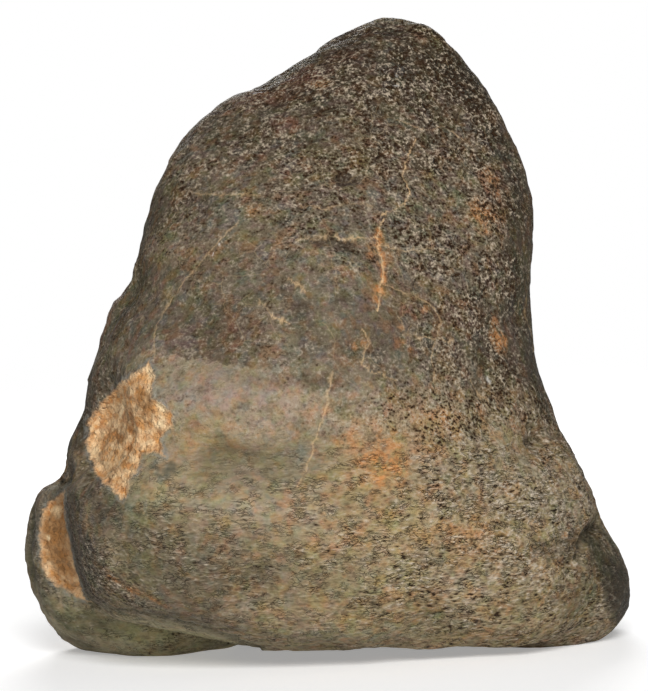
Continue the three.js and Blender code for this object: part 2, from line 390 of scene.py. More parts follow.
# x, y, half width, half height in pixels, strength
TINTS = {
    "rust": [
        (372, 250, 12, 20, 0.4), (490, 318, 16, 14, 0.5), (430, 440, 22, 40, 0.25),
        (470, 535, 34, 26, 0.4), (386, 464, 30, 30, 0.8), (352, 440, 18, 14, 0.45),
        (402, 341, 12, 9, 0.9), (497, 345, 14, 15, 0.75), (440, 410, 12, 8, 0.5),
        (480, 412, 10, 8, 0.5), (478, 530, 18, 8, 0.45), (447, 522, 16, 7, 0.45), (567, 533, 8, 9, 0.9),
        (318, 84, 16, 7, 0.4), (492, 178, 13, 15, 0.6), (425, 284, 6, 5, 0.8), (427, 309, 5, 6, 0.8),
        (360, 345, 8, 7, 0.5), (373, 290, 9, 9, 0.55), (379, 258, 9, 26, 0.3), (285, 245, 16, 8, 0.3),
        (262, 208, 14, 10, 0.35), (320, 412, 14, 10, 0.3), (186, 444, 16, 9, 0.3),
    ],
    "ruddy": [
        (262, 100, 36, 14, 0.8), (300, 82, 32, 12, 0.9), (340, 62, 26, 14, 0.6),
        (285, 130, 30, 12, 0.4), (226, 110, 20, 14, 0.4), (420, 300, 40, 30, 0.2),
        (460, 320, 36, 24, 0.2), (210, 330, 60, 24, 0.1), (500, 200, 16, 40, 0.3),
        (400, 420, 50, 30, 0.1),
    ],
    # darker patches: partly darker stone, partly painted shade where the surface turns away at the
    # edges and in hollows
    "dark": [
        (322, 380, 34, 12, 0.85), (354, 404, 26, 10, 0.35), (148, 360, 16, 8, 0.45),
        (82, 440, 9, 44, 0.85), (98, 388, 8, 20, 0.6), (110, 350, 10, 30, 0.35),
        (190, 220, 40, 60, 0.18), (166, 190, 16, 60, 0.25), (432, 40, 22, 18, 0.45),
        (455, 72, 30, 38, 0.9), (205, 200, 26, 50, 0.3), (378, 414, 16, 12, 0.3),
        (350, 505, 36, 26, 0.15), (325, 590, 40, 20, 0.15), (480, 98, 20, 28, 0.95),
        (504, 145, 20, 36, 0.9), (517, 205, 19, 55, 0.9), (514, 275, 19, 50, 0.9),
        (528, 370, 10, 30, 0.4), (446, 48, 14, 18, 0.9), (146, 368, 16, 26, 0.5),
        (122, 322, 14, 34, 0.6), (163, 215, 14, 44, 0.45), (58, 622, 24, 30, 0.75),
        (110, 512, 34, 16, 0.65), (88, 478, 12, 14, 0.8), (300, 376, 80, 14, 0.3),
        (345, 245, 22, 9, 0.4), (532, 440, 22, 12, 0.4), (338, 320, 36, 84, 0.22),
        (46, 612, 26, 22, 0.5), (102, 520, 22, 24, 0.7), (215, 290, 80, 56, 0.24),
        (212, 228, 24, 18, 0.5), (350, 256, 16, 16, 0.35), (80, 628, 44, 22, 0.45),
        (418, 62, 44, 34, 0.5), (344, 180, 16, 8, 0.6), (316, 240, 16, 9, 0.6), (338, 243, 18, 8, 0.5),
        (470, 75, 26, 34, 0.4), (236, 453, 46, 12, 0.3), (168, 469, 15, 4, 0.7),
        (530, 440, 24, 13, 0.6), (545, 405, 14, 18, 0.4), (300, 305, 13, 9, 0.45),
        (232, 318, 20, 12, 0.35), (380, 100, 10, 9, 0.4), (120, 588, 50, 22, 0.6),
        (92, 548, 22, 44, 0.7), (75, 500, 12, 22, 0.6), (205, 622, 60, 12, 0.5),
        (620, 590, 12, 62, 0.7), (578, 592, 50, 40, 0.2), (596, 560, 16, 22, 0.4),
        (70, 642, 44, 14, 0.6), (522, 600, 40, 20, 0.25), (32, 540, 8, 60, 0.6), (36, 580, 10, 30, 0.5),
        (50, 500, 16, 8, 0.5), (88, 490, 16, 16, 0.55), (170, 572, 90, 66, 0.6),
        (150, 530, 44, 34, 0.4),
    ],
    "pale": [
        (566, 512, 30, 28, 1.0), (545, 480, 50, 40, 0.6), (480, 450, 60, 40, 0.5),
        (215, 392, 50, 24, 0.6), (300, 400, 40, 22, 0.6), (160, 395, 16, 24, 0.4),
        (215, 488, 80, 14, 0.35), (345, 425, 40, 26, 0.55), (250, 480, 70, 10, 0.4),
        (585, 490, 14, 30, 0.5), (470, 470, 70, 44, 0.55), (490, 565, 90, 50, 0.45),
        (410, 180, 40, 26, 0.25),
    ],
    "olive": [
        (205, 452, 34, 14, 0.15), (140, 505, 46, 36, 0.3), (135, 560, 36, 24, 0.3),
        (60, 622, 46, 26, 0.45), (150, 632, 80, 16, 0.3), (603, 548, 20, 26, 0.7),
        (432, 42, 14, 22, 0.6), (520, 280, 10, 50, 0.4), (360, 168, 30, 9, 0.5),
        (585, 600, 30, 30, 0.3), (245, 470, 70, 20, 0.15), (458, 196, 9, 7, 0.7),
        (548, 380, 10, 14, 0.4), (110, 360, 10, 30, 0.3), (430, 430, 14, 10, 0.4),
    ],
    "slate": [
        (228, 216, 34, 18, 0.4), (305, 350, 26, 10, 0.5), (345, 255, 14, 8, 0.4),
        (400, 240, 12, 12, 0.35), (290, 367, 12, 6, 0.6), (300, 455, 18, 8, 0.5),
        (430, 465, 30, 14, 0.5), (168, 469, 16, 4, 0.8), (400, 628, 120, 16, 0.5),
        (365, 590, 30, 20, 0.3), (120, 510, 34, 16, 0.5), (475, 440, 26, 10, 0.3),
        (530, 420, 14, 20, 0.3), (395, 75, 26, 12, 0.4), (250, 270, 16, 10, 0.3),
    ],
    "mauve": [
        (215, 395, 40, 22, 0.5), (280, 400, 50, 20, 0.4), (210, 340, 50, 18, 0.5),
        (240, 160, 60, 30, 0.3), (300, 180, 40, 30, 0.3), (290, 520, 40, 12, 0.5),
        (340, 560, 30, 12, 0.3), (380, 320, 40, 24, 0.4),
    ],
    "white": [
        (222, 246, 2.5, 5, 1.0), (437, 621, 5, 2, 1.0), (318, 369, 2.5, 3, 0.9), (214, 258, 2, 3, 0.7),
        (262, 402, 2.5, 3, 0.7), (330, 108, 3, 2, 0.6), (345, 398, 2.5, 2.5, 0.7), (396, 82, 4, 2, 0.6),
        (486, 378, 2, 3, 0.6), (150, 397, 3, 3, 0.7),
    ],
    "cream": [
        (157, 415, 8, 17, 1.0), (110, 466, 20, 26, 0.55), (95, 446, 7, 22, 0.5), (119, 404, 8, 10, 0.5),
        (44, 542, 4, 5, 1.0), (50, 515, 8, 8, 0.4), (146, 375, 6, 10, 0.4),
    ],
    "umber": [
        (138, 402, 9, 24, 0.9), (118, 438, 8, 20, 0.8), (147, 450, 6, 8, 0.6), (157, 447, 7, 10, 0.5),
        (54, 545, 22, 66, 1.0), (45, 532, 5, 8, 0.9), (58, 575, 7, 9, 0.8), (66, 560, 4, 10, 0.6),
        (130, 425, 8, 12, 0.4),
    ],
}

# azimuth in degrees (0 is the photograph's side, 90 its right) and height in millimetres
FAR_CRACKS = [
    (0.17, 0.8, [(118, 92), (121, 84), (117, 76), (123, 68), (121, 60)]),
    (0.20, 0.9, [(196, 96), (190, 88), (194, 79), (187, 71), (189, 62)]),
    (0.15, 0.6, [(189, 71), (180, 69), (172, 66), (166, 60)]),
    (0.15, 0.6, [(230, 52), (236, 47), (247, 45), (255, 40)]),
    (0.18, 0.7, [(272, 84), (267, 76), (271, 68), (265, 60)]),
    (0.15, 0.6, [(150, 40), (158, 35), (169, 34)]),
    (0.14, 0.5, [(88, 70), (83, 63), (86, 55)]),
]
# azimuth, height, half width and half height in millimetres, strength
FAR_TINTS = {
    "rust": [
        (75, 82, 4, 3, 0.7), (96, 45, 6, 5, 0.7), (128, 72, 7, 5, 0.6), (150, 30, 8, 5, 0.6),
        (178, 88, 6, 6, 0.6), (192, 52, 9, 6, 0.8), (215, 26, 7, 4, 0.5), (243, 62, 6, 5, 0.6),
        (262, 34, 7, 5, 0.6), (256, 92, 5, 4, 0.6), (205, 106, 5, 3, 0.6),
    ],
    "ruddy": [(140, 80, 9, 6, 0.7), (200, 92, 10, 6, 0.7), (225, 48, 10, 7, 0.6), (272, 66, 7, 7, 0.5)],
    "dark": [
        (60, 60, 6, 8, 0.5), (110, 98, 9, 9, 0.5), (140, 55, 9, 5, 0.5), (170, 108, 12, 7, 0.5),
        (185, 18, 14, 6, 0.4), (222, 78, 8, 8, 0.5), (250, 14, 12, 7, 0.5), (275, 52, 7, 6, 0.5),
        (300, 100, 8, 8, 0.4),
    ],
    "pale": [
        (105, 60, 10, 6, 0.4), (165, 44, 13, 7, 0.4), (200, 34, 12, 6, 0.4), (235, 40, 9, 6, 0.4),
        (268, 70, 7, 5, 0.4), (130, 20, 10, 6, 0.3),
    ],
    "olive": [(100, 30, 10, 8, 0.5), (160, 74, 9, 6, 0.4), (232, 30, 12, 8, 0.5), (290, 70, 6, 8, 0.4)],
    "slate": [(140, 88, 8, 6, 0.4), (182, 36, 9, 6, 0.4), (215, 60, 8, 6, 0.4), (258, 84, 7, 6, 0.4)],
    "mauve": [(120, 50, 10, 8, 0.4), (200, 76, 10, 8, 0.4), (275, 30, 9, 8, 0.4)],
}
# azimuth, height, half width, half height and depth in millimetres
FAR_HOLLOWS = [
    (112, 78, 3.2, 1.8, 0.6), (135, 62, 2.6, 1.6, 0.5), (158, 92, 3.4, 1.8, 0.6),
    (176, 50, 3.0, 1.7, 0.6), (188, 102, 2.4, 1.5, 0.5), (205, 66, 3.4, 2.0, 0.8),
    (214, 62, 2.4, 1.5, 0.5), (238, 84, 2.8, 1.7, 0.5), (252, 54, 3.2, 1.8, 0.6),
    (268, 94, 2.4, 1.5, 0.5), (90, 36, 2.8, 1.6, 0.5), (284, 44, 2.6, 1.5, 0.5),
]


LINE_STEP_PIXELS = 5.0
LINE_STEP_DEGREES = 1.5
LINE_REACH = 4.0  # how far from a line its distance is measured, in millimetres
FAR = 99.0  # the distance given to what is out of reach, in millimetres
FAR_REACH = 150.0  # where the level looks at the stone start, in millimetres from its axis


def placed(stone, camera, pixel):
    """The point of the stone that the photograph shows at a pixel, or None."""
    return stone.ray_cast(camera.eye, camera.ray(pixel))[0]


def close_steps(places, step):
    """A line of places with more put between them, each at most a step from the next."""
    filled = [tuple(places[0])]
    for (x0, y0), (x1, y1) in zip(places[:-1], places[1:]):
        count = max(1, math.ceil(math.hypot(x1 - x0, y1 - y0) / step))
        shares = [k / count for k in range(1, count + 1)]
        filled += [(x0 + (x1 - x0) * share, y0 + (y1 - y0) * share) for share in shares]
    return filled


def on_stone(stone, camera, pixels):
    """The points of the stone that the photograph shows along a line of pixels."""
    hits = (placed(stone, camera, pixel) for pixel in close_steps(pixels, LINE_STEP_PIXELS))
    return np.array([tuple(hit) for hit in hits if hit is not None])


def around(stone, azimuth, height):
    """The point of the stone's side that is met when looking level at its axis."""
    turn = math.radians(azimuth)
    outward = Vector((math.sin(turn), -math.cos(turn), 0))
    return stone.ray_cast(outward * FAR_REACH + Vector((0, 0, height)), -outward)[0]


def around_line(stone, places):
    """The points of the stone's side along a line of azimuths and heights."""
    hits = (around(stone, *place) for place in close_steps(places, LINE_STEP_DEGREES))
    return np.array([tuple(hit) for hit in hits if hit is not None])


def tinted(points, spots):
    """How strongly each point is tinted by soft spots: centre, half sizes, strength."""
    strength = np.zeros(len(points))
    for centre, reach, most in spots:
        away = np.linalg.norm((points - centre) / reach, axis=1)
        strength = np.maximum(strength, most * smooth(1.25, 0.35, away))
    return strength


def spots_of(stone, camera, kind):
    """The soft spots of one kind, with their places on the stone found."""
    spots = []
    for x, y, half_width, half_height, most in TINTS[kind]:
        hit = placed(stone, camera, (x, y))
        if hit is not None:
            wide, tall = half_width / PIXELS_PER_MM, half_height / PIXELS_PER_MM
            spots.append((np.array(hit), np.array((wide, max(wide, tall), tall)), most))
    for azimuth, height, wide, tall, most in FAR_TINTS.get(kind, []):
        hit = around(stone, azimuth, height)
        if hit is not None:
            spots.append((np.array(hit), np.array((wide, wide, tall)), most))
    return spots


def hollows(points, stone, camera):
    """How far scattered hollows go in at each point, in millimetres."""
    depth = np.zeros(len(points))
    for x, y, half_width, half_height, most in HOLLOWS:
        hit = placed(stone, camera, (x, y))
        reach = np.array((half_width, half_width, half_height)) / PIXELS_PER_MM
        depth = np.maximum(depth, tinted(points, [(np.array(hit), reach, most)]))
    for azimuth, height, wide, tall, most in FAR_HOLLOWS:
        hit = around(stone, azimuth, height)
        reach = np.array((wide, wide, tall))
        depth = np.maximum(depth, tinted(points, [(np.array(hit), reach, most)]))
    return depth


TOP_LEFT_REACH = 20.0  # how much further right the left shift reaches near the top, millimetres


def outline_shift(points, camera):
    """How far each point moves to the right, in millimetres, to bring the outline to the photo's."""
    rows = camera.pixels_of(points)[:, 1]
    x, y, _ = points.T
    near_top = TOP_LEFT_REACH * smooth(160, 120, rows)
    left = np.interp(rows, *np.transpose(LEFT_SHIFTS)) * smooth(-14, -30, x - near_top)
    right = np.interp(rows, *np.transpose(RIGHT_SHIFTS)) * smooth(14, 34, x)
    return (left + right) * smooth(-24, -8, y) * smooth(54, 36, y) / PIXELS_PER_MM


def away_from_spots(points, spots):
    """How far each point is from the nearest of some spots' middles."""
    return np.min([np.linalg.norm(points - spot[0], axis=1) for spot in spots], axis=0)


def away_from_piece(points, start, end):
    """How far each point is from one straight piece."""
    along = end - start
    away = points - start
    t = np.clip(away @ along / max(along @ along, 1e-12), 0, 1)
    return np.linalg.norm(away - t[:, None] * along, axis=1)


def away_from_line(points, line):
    """How far each point is from a line of straight pieces."""
    nearest = np.full(len(points), FAR)
    low, high = line.min(axis=0) - LINE_REACH, line.max(axis=0) + LINE_REACH
    close = np.all((points > low) & (points < high), axis=1)
    for start, end in zip(line[:-1], line[1:]):
        gap = away_from_piece(points[close], start, end)
        nearest[close] = np.minimum(nearest[close], gap)
    return nearest


def inside_outline(points, outline):
    """How far each flat point lies inside a closed outline, below 0 outside it."""
    border = np.array(outline, dtype=float)
    inside = np.zeros(len(points), dtype=bool)
    gap = np.full(len(points), np.inf)
    for start, end in zip(border, np.roll(border, -1, axis=0)):
        gap = np.minimum(gap, away_from_piece(points, start, end))
        spans = (start[1] > points[:, 1]) != (end[1] > points[:, 1])
        crossing = start[0] + (end[0] - start[0]) * (points[:, 1] - start[1]) / (
            end[1] - start[1] + 1e-12
        )
        inside ^= spans & (points[:, 0] < crossing)
    return np.where(inside, gap, -gap)


def away_from_seam(points, camera):
    """How far each point is seen from the line where the body hides the lobe, in millimetres."""
    flat = camera.pixels_of(points) / PIXELS_PER_MM
    line = np.array(LOBE_SEAM) / PIXELS_PER_MM
    nearest = np.full(len(points), FAR)
    for start, end in zip(line[:-1], line[1:]):
        nearest = np.minimum(nearest, away_from_piece(flat, start, end))
    return nearest


def inside_chips(points, camera):
    """How far each point lies inside the nearest chip, in millimetres, below 0 outside it."""
    pixels = camera.pixels_of(points)
    best = np.full(len(points), -FAR)
    for name, outline in CHIPS.items():
        gap = inside_outline(pixels, outline) / PIXELS_PER_MM
        best = np.where(points[:, 1] < CHIPS_BEFORE[name], np.maximum(best, gap), best)
    return best


# ---- the skin ----

SUBDIVISIONS, REFINEMENTS = 2, 2
# the longest edges, in millimetres: elsewhere, by seams and patches, by cracks and white flecks
COARSE, FINE, FINEST = 9.0, 0.5, 0.3
# how near to each of those the edges are kept short, in millimetres
BY_CHIP, BY_SEAM, BY_FLECK, BY_CRACK = 0.5, 1.2, 1.2, 0.36
LOBE_BEFORE = 30.0  # the depth, y, behind which the lobe's seam isn't refined

# centre and reach in millimetres, and the share of the reach that has full strength
REGIONS = {
    "calm front": ((-16, -40, 47), (44, 30, 36), 0.3),
    "left lobe": ((-40, 12, 10), (30, 30, 16)),
    "gold": ((30, -40, 26), (44, 60, 34), 0.6),
    "slanted": ((-38, -26, 17), (20, 24, 20), 0.5),
    "brow band": ((-16, -40, 44), (40, 30, 20), 0.3),
    "left middle": ((-22, -30, 68), (26, 40, 24), 0.2),
    "middle": ((8, -30, 62), (20, 44, 22), 0.3),
    "worn right": ((36, -30, 34), (26, 44, 24), 0.4),
    "bare right": ((42, -20, 30), (22, 50, 22), 0.5),
    "left notch": ((-36.5, 3, 71.5), (7, 22, 4.5)),
}
# strength, centre, reach and full share of the places where the grain is lighter
CLEAN_REGIONS = [
    (1.0, (42, -25, 29), (28, 50, 22), 0.4),
    (0.5, (-14, -10, 99), (24, 50, 20)),
    (0.9, (-3, -5, 109), (15, 30, 8)),
    (0.8, (18, -30, 93), (9, 30, 6)),
    (0.6, (18, -40, 18), (8, 30, 5)),
    (0.8, (-19, -35, 59), (13, 30, 7)),
    (0.8, (26, -35, 58), (20, 40, 9)),
]

# heights and depths in millimetres
SWELL, LOW_SWELL = 0.20, 0.12
BIG_PIT, SMALL_PIT = 0.45, 0.2
BIG_PIT_SIZE, SMALL_PIT_SIZE = (4.6, 4.6, 2.8), (2.2, 2.2, 1.5)
CRUST_THICKNESS, NOTCH_DEPTH = 0.35, 1.0
HOLLOW_GAIN = 1.35  # times the depths in HOLLOWS and FAR_HOLLOWS
RIGHT_SEAM_DEPTH, RIGHT_SEAM_REACH = 1.5, 2.4
GROOVE_DEPTH, GROOVE_REACH = 0.5, 1.1
CHIP_DEPTH, CHIP_SLOPE, RUBBLE = 0.75, 0.9, 0.15
CRACK_DEPTH, CRACK_LEAST_WIDTH = 0.12, 0.10
FOOT_TOP = 2.5  # below this height the relief fades into the flat foot
EDGE_ROUND = 3.2  # the round edge where the body hides the lobe
LOBE_STEP, LOBE_FADE = 2.8, 15.0  # how much further back the lobe lies, and how far that reaches
SEAM_TOP = 4.5  # the seam fades in over this length from its top
BROW_RAMP = 4.0  # the height over which the crust's ragged edge can wander
STONE_TOP = 115.0
SANDY_MOST = 1.35


def near(points, centre, reach, core=0.45):
    """1 at a centre, falling to 0 at its reach (one length per axis)."""
    away = np.linalg.norm((points - np.array(centre)) / np.array(reach), axis=1)
    return smooth(1.0, core, away)


def lumps_each_way(points, size, seed):
    """Lumps along each of the three axes."""
    return np.stack([lumps(points, size, seed + k) for k in range(3)], axis=-1)


class Skin:
    """The stone's skin in millimetres: its points, its triangles and what is marked on it."""

    def __init__(self, camera):
        self.camera = camera
        points, faces = node_triangles(NODE)
        for _ in range(SUBDIVISIONS):
            points, faces = subdivided(points, faces)
        points, lift = sharpened(points, faces)
        self.stone = BVHTree.FromPolygons(points.tolist(), faces.tolist())
        self.flecks = spots_of(self.stone, camera, "white")
        self.cracks = self.front_lines(CRACKS)
        self.cracks += [(w, most, around_line(self.stone, line)) for w, most, line in FAR_CRACKS]
        carried = np.column_stack([points, lift])
        for _ in range(REFINEMENTS):
            carried, faces = refined(carried, faces, self.longest_edges)
        self.points, self.lift, self.faces = carried[:, :3], carried[:, 3], faces
        self.normals = normals_of(self.points, faces)
        self.pixels = camera.pixels_of(self.points)
        self.fray()
        self.marks = {}

    def front_lines(self, table):
        """Lines of a width and a strength, with their pixels put on the stone."""
        return [(w, most, on_stone(self.stone, self.camera, line)) for w, most, line in table]

    def longest_edges(self, middles):
        """How long an edge may be at each place."""
        size = np.full(len(middles), COARSE)
        size = np.where(inside_chips(middles, self.camera) > -BY_CHIP, FINE, size)
        seam = away_from_seam(middles, self.camera)
        size = np.where((seam < BY_SEAM) & (middles[:, 1] < LOBE_BEFORE), FINE, size)
        size = np.where(away_from_spots(middles, self.flecks) < BY_FLECK, FINEST, size)
        crack = np.min([away_from_line(middles, line) for _, _, line in self.cracks], axis=0)
        return np.where(crack < BY_CRACK, FINEST, size)

    def fray(self):
        """Displaced copies of the points, where lines and soft spots get their ragged edges."""
        points, normals = self.points, self.normals
        self.warp = lumps_each_way(points, 2.2, 400)
        shake = 0.35 * self.warp + 0.2 * lumps_each_way(points, 0.8, 440)
        self.jagged = points + shake - (shake * normals).sum(axis=1, keepdims=True) * normals
        self.frayed = points + 1.3 * self.warp + 1.6 * lumps_each_way(points, 6.0, 430)

    def region(self, name):
        return near(self.points, *REGIONS[name])

    def seen_inside(self, points, outline):
        """How far points are seen inside an outline of pixels, in millimetres."""
        return inside_outline(self.camera.pixels_of(points), outline) / PIXELS_PER_MM

    def raise_mark(self, name, values):
        """Makes a mark at least as strong as the given values."""
        self.marks[name] = np.maximum(self.marks[name], values)

    def mark_tints(self):
        marks = self.marks
        for kind in TINTS:
            marks[kind] = tinted(self.frayed, spots_of(self.stone, self.camera, kind))
        for wide, most, line in self.front_lines(RUST_LINES):
            away = away_from_line(self.jagged, line)
            self.raise_mark("rust", most * smooth(wide, 0.15 * wide, away))

    def mark_grain(self):
        """Where the grain is strong, drawn out or slanted."""
        x, y, z = self.points.T
        marks, region = self.marks, self.region
        self.lower = smooth(46, 36, z)
        self.calm = np.maximum.reduce([0.72 * region("calm front"), region("left lobe")])
        marks["brushed"] = self.lower
        marks["gold"] = region("gold")
        marks["slanted"] = region("slanted")
        sandy = 0.58 + 0.38 * smooth(-12, 28, x) + 0.16 * smooth(76, 104, z)
        sandy *= (1 - 0.5 * region("brow band")) * (1 - 0.3 * region("left middle"))
        sandy *= 1 - 0.7 * region("left lobe")
        # painted shade over the right lobe's hollow side, laid on through the dark mark and, later, the
        # seam mark
        shade = smooth(-1.2, 2.0, self.seen_inside(self.frayed, RIGHT_SHADE))
        self.shade = shade * smooth(30, 10, y)
        self.raise_mark("dark", self.shade)
        sandy *= 1 - 0.35 * self.shade
        sandy *= 1 - 0.45 * region("middle")
        sandy += 0.15 * region("worn right")
        marks["sandy"] = np.clip(sandy, 0, SANDY_MOST)

    def mark_crust(self):
        """The crust left above the brow, and painted shade on the sides that face left and right, laid
        on as darker crust. Elsewhere the crust is worn off.
        """
        x, y, z = self.points.T
        nx, ny, _ = self.normals.T
        points, marks = self.points, self.marks
        edge = 1.2 * self.warp[:, 2] + 2.0 * lumps(points, 8.0, 300)
        brow_line = on_stone(self.stone, self.camera, BROW_LINE)
        brow = np.interp(x, brow_line[:, 0], brow_line[:, 2]) + 0.5 * edge
        self.crust = smooth(-0.3, 0.3, z - brow)
        ledge = smooth(-12.5, -8, z - brow) * smooth(-38, -31, x) * smooth(28, 10, x)
        ledge *= smooth(0.1, -0.3, ny)
        # painted shade where the surface turns to the left or right: a dark colour of its own, and
        # crust
        side_shade = smooth(0.62, 0.97, np.abs(nx) + 0.10 * lumps(points, 6.0, 310))
        side_shade *= 1 - 0.9 * self.region("bare right")
        behind = smooth(0.2, 0.7, ny) * smooth(-0.3, 0.5, lumps(points, 22.0, 320))
        marks["crust"] = np.maximum(side_shade, behind)
        marks["above_brow"] = np.clip(0.5 + (z - brow) / BROW_RAMP, 0, 1)
        marks["above_brow_soft"] = smooth(-8, 9, z - brow + 2.5 * lumps(points, 5.0, 333))
        marks["brow_line"] = smooth(-4, -16, x) * smooth(0.2, -0.3, ny) * smooth(-40, -30, x)
        marks["side_shade"] = side_shade
        marks["sandy"] *= 1 - 0.5 * side_shade * smooth(-10, 10, x)
        self.raise_mark("pale", 0.62 * ledge)

    def mark_ends(self):
        """The wrinkled left end, the clean places, and painted light from below on the low left end
        near the floor.
        """
        x, y, z = self.points.T
        marks = self.marks
        rough = smooth(-1.5, 1.5, self.seen_inside(self.frayed, ROUGH_END)) * smooth(6, -6, y)
        self.raise_mark("sandy", 0.8 * rough)
        marks["dark"] *= 1 - 0.25 * rough
        marks["rough"] = rough
        clean = [most * near(self.points, *place) for most, *place in CLEAN_REGIONS]
        marks["clean"] = np.maximum.reduce(clean)
        # painted light on the low left end, as if thrown up from the floor
        marks["under"] = smooth(12, 2, z) * smooth(-8, -22, x) * smooth(26, 8, y)
        marks["under"] *= smooth(-48, -34, x)
        marks["rise"] = np.clip(z / STONE_TOP, 0, 1)

    def wear(self):
        """Swellings, pits, the crust's thickness and the hollows."""
        points, marks, calm = self.points, self.marks, self.calm
        self.height = SWELL * layered(points, 4.6, 20)
        self.height += LOW_SWELL * layered(points, (3.0, 3.0, 0.9), 60, layers=2) * self.lower
        big = (1 - 0.7 * self.lower) * pits(self.jagged, BIG_PIT_SIZE, 0.45, 90)
        small = pits(self.jagged, SMALL_PIT_SIZE, 0.4, 130)
        self.height -= BIG_PIT * (1 - 0.6 * calm) * big + SMALL_PIT * (1 - 0.5 * calm) * small
        # painted shade in the pits
        marks["pit_shade"] = np.maximum(big, 0.8 * small) * (1 - 0.6 * calm)
        # painted shade in the surface's valleys; the ridges are lighter with wear
        marks["valley_shade"] = smooth(-0.02, -0.30, self.lift)
        marks["ridge"] = smooth(0.03, 0.20, self.lift)
        self.height += CRUST_THICKNESS * self.crust
        self.height -= NOTCH_DEPTH * self.region("left notch")
        dents = hollows(points + 0.5 * self.warp, self.stone, self.camera)
        self.height -= HOLLOW_GAIN * dents
        # painted shade in the hollows
        marks["hollow"] = smooth(0.05, 0.55, dents)

    def set_lobe_back(self):
        """The step behind the body's round left edge, where the lobe is hidden."""
        marks = self.marks
        seam = away_from_seam(self.points, self.camera)
        on_lobe = inside_outline(self.pixels, LOBE_SEAM + LOBE_RETURN) / PIXELS_PER_MM
        front = smooth(26, 8, self.points[:, 1])
        rounded = EDGE_ROUND * (1 - np.sqrt(1 - (1 - np.clip(seam / EDGE_ROUND, 0, 1)) ** 2))
        pushed = (EDGE_ROUND + LOBE_STEP) * smooth(LOBE_FADE, 3, seam)
        behind = rounded + (pushed - rounded) * smooth(0, 0.4, on_lobe)
        self.step_back = front * np.where(on_lobe > 0, behind, rounded)
        below_top = np.linalg.norm(self.pixels - np.array(LOBE_SEAM[0]), axis=1) / PIXELS_PER_MM
        self.step_back *= smooth(0.5, SEAM_TOP, below_top)
        marks["lobe"] = smooth(-0.2, 0.4, on_lobe) * front
        # painted shade along the seam where the body hides the lobe, stronger on the lobe's side
        marks["seam"] = smooth(2.2, 0.2, seam) * front * smooth(0.5, SEAM_TOP, below_top)
        marks["seam"] *= 0.4 + 0.6 * smooth(-0.2, 0.4, on_lobe)

    def cut_grooves(self):
        """The crease over the right lobe and the grooves that sweep up to it, with painted shade along
        them and over the lobe's hollow side.
        """
        crease = away_from_line(self.points, on_stone(self.stone, self.camera, RIGHT_SEAM))
        self.height -= RIGHT_SEAM_DEPTH * smooth(RIGHT_SEAM_REACH, 0, crease)
        self.raise_mark("seam", smooth(2.0, 0.1, crease))
        lines = [on_stone(self.stone, self.camera, line) for line in GROOVES]
        groove = np.min([away_from_line(self.jagged, line) for line in lines], axis=0)
        self.height -= GROOVE_DEPTH * smooth(GROOVE_REACH, 0, groove)
        self.raise_mark("seam", smooth(1.0, 0.1, groove))
        self.raise_mark("seam", 0.55 * self.shade)

    def break_patches(self):
        """The broken patches' crumbly floors."""
        chip = inside_chips(self.jagged, self.camera)
        floor = smooth(0.0, CHIP_SLOPE, chip)
        rubble = RUBBLE * layered(self.points, 2.2, 170, layers=2)
        self.height = self.height * (1 - floor) + floor * (rubble - CHIP_DEPTH)
        self.marks["chip"] = np.clip(0.5 + chip / 2.2, 0, 1)

    def crack(self):
        """Thin cracks whose width and strength wander."""
        vein = np.zeros(len(self.points))
        thin = 0.9 + 0.4 * lumps(self.points, 3.0, 210)
        fade = np.clip(0.8 + 0.7 * lumps(self.points, 2.6, 220), 0.35, 1)
        for wide, most, line in self.cracks:
            width = np.maximum(wide * thin, CRACK_LEAST_WIDTH)
            away = away_from_line(self.jagged, line)
            vein = np.maximum(vein, most * smooth(width + 0.12, width * 0.3, away))
        self.height -= CRACK_DEPTH * vein
        self.marks["vein"] = vein * fade

    def displaced(self):
        """The points after all of it. The foot stays flat on the floor."""
        height = self.height * smooth(0.0, FOOT_TOP, self.points[:, 2])
        shift = outline_shift(self.points, self.camera)
        moved = self.points + self.normals * height[:, None]
        moved = moved + shift[:, None] * np.array(self.camera.right)
        moved[:, 1] += self.step_back
        moved[:, 2] = np.maximum(moved[:, 2], 0)
        return moved


def built_skin(camera):
    """The skin's points, triangles and marks."""
    skin = Skin(camera)
    for mark in (skin.mark_tints, skin.mark_grain, skin.mark_crust, skin.mark_ends):
        mark()
    for carve in (skin.wear, skin.set_lobe_back, skin.cut_grooves, skin.break_patches, skin.crack):
        carve()
    return skin.displaced(), skin.faces, skin.marks


def add_mesh(name, points, faces, marks):
    """Adds a smooth piece that carries its marks as numbers on its points."""
    mesh = bpy.data.meshes.new(name)
    mesh.from_pydata((points * MM).tolist(), [], faces.tolist())
    mesh.validate()
    for key, values in marks.items():
        layer = mesh.attributes.new(key, "FLOAT", "POINT")
        layer.data.foreach_set("value", values.astype(np.float32))
    mesh.shade_smooth()
    piece = bpy.data.objects.new(name, mesh)
    bpy.context.scene.collection.objects.link(piece)
    return piece


# ---- material ----


def srgb(*values):
    """A colour given as sRGB 0-255, as the linear colour that nodes take."""
    shares = [v / 255 for v in values]
    return tuple(s / 12.92 if s <= 0.04045 else ((s + 0.055) / 1.055) ** 2.4 for s in shares) + (1,)


# the Mix node's two inputs and its output, by the kind of data
MIX_SOCKETS = {"FLOAT": (2, 3, 0), "VECTOR": (4, 5, 1), "RGBA": (6, 7, 2)}


